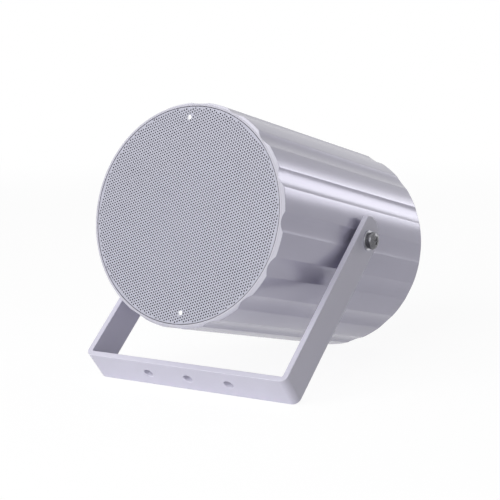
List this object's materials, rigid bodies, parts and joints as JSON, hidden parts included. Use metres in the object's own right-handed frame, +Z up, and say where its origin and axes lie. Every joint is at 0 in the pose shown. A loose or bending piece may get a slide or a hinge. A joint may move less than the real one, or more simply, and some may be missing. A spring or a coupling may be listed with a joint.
{
  "type": "projection speaker",
  "caption": "Round fluted aluminium sound projector with a flat perforated front grille, carried between the arms of a U-shaped mounting bracket it can be turned in.",
  "frame": {"origin": "centre of the bottom of the bounding box, with the part resting on the bracket's lower edge and the rear rim of the housing", "axes": "+Z up, -Y towards the perforated front, +X to the right seen from the front and along the pivot line of the bracket"},
  "size_m": [0.178, 0.2356, 0.1944],
  "materials": {
    "shell_silver": "satin silver lacquer over extruded aluminium",
    "bracket_silver": "satin silver powder coat",
    "grille_silver": "satin silver powder coat",
    "cover_silver": "satin silver lacquer",
    "screw_steel": "bright zinc",
    "pivot_steel": "dark zinc",
    "washer_steel": "stainless",
    "insert_brass": "plain",
    "spacer_black": "moulded nylon",
    "black_cloth": "woven acoustic cloth",
    "baffle_black": "moulded",
    "basket_black": "black paint",
    "gasket_rubber": "matt",
    "surround_rubber": "matt",
    "cone_paper": "matt, pressed paper",
    "spider_cloth": "varnished cloth",
    "former_aluminium": "plain foil",
    "copper_winding": "enamelled copper",
    "zinc_plate": "yellowed zinc",
    "ferrite": "matt fired ferrite",
    "board_brown": "pressed board",
    "tinned_brass": "tinned",
    "core_iron": "varnished laminations",
    "bobbin_nylon": "moulded nylon",
    "lead_black": "insulation",
    "block_white": "moulded",
    "gland_grey": "moulded nylon"
  },
  "bodies": {
    "bracket": {"bracket": "bracket_silver"},
    "housing": {"body_shell": "shell_silver", "grille": "grille_silver", "rear_cover": "cover_silver", "front_baffle": "baffle_black", "grille_cloth": "black_cloth", "baffle_screws": "screw_steel", "grille_screws": "screw_steel", "driver_screws": "screw_steel", "rear_cover_screws": "screw_steel", "transformer_screws": "screw_steel", "terminal_clamp_screws": "screw_steel", "terminal_block_screws": "screw_steel", "pivot_screws": "pivot_steel", "flat_washers": "washer_steel", "spring_washers": "washer_steel", "pivot_inserts": "insert_brass", "pivot_spacers": "spacer_black", "driver_gasket": "gasket_rubber", "rear_gasket": "gasket_rubber", "gland_washer": "gasket_rubber", "gland_seal": "gasket_rubber", "driver_basket": "basket_black", "surround": "surround_rubber", "spider": "spider_cloth", "top_plate": "zinc_plate", "pole_yoke": "zinc_plate", "ring_magnet": "ferrite", "terminal_strip": "board_brown", "solder_lugs": "tinned_brass", "transformer_core": "core_iron", "transformer_bobbin": "bobbin_nylon", "transformer_winding": "copper_winding", "transformer_clamp": "zinc_plate", "driver_leads": "lead_black", "input_leads": "lead_black", "terminal_block": "block_white", "gland_body": "gland_grey", "gland_lock_nut": "gland_grey", "gland_cap_nut": "gland_grey"},
    "cone": {"cone": "cone_paper", "dust_cap": "cone_paper", "coil_former": "former_aluminium", "coil_winding": "copper_winding"}
  },
  "joints": [
    {"name": "housing_tilt", "type": "hinge", "parent": "bracket", "child": "housing", "pos_m": [0, 0.00292, 0.0965], "axis": [1, 0, 0], "continuous": true},
    {"name": "cone_travel", "type": "slide", "parent": "housing", "child": "cone", "axis": [0, 0.9719, -0.2353], "range_m": [-0.003, 0.003], "stiffness_N_per_m": 1200, "deforming": ["surround", "spider"]}
  ]
}
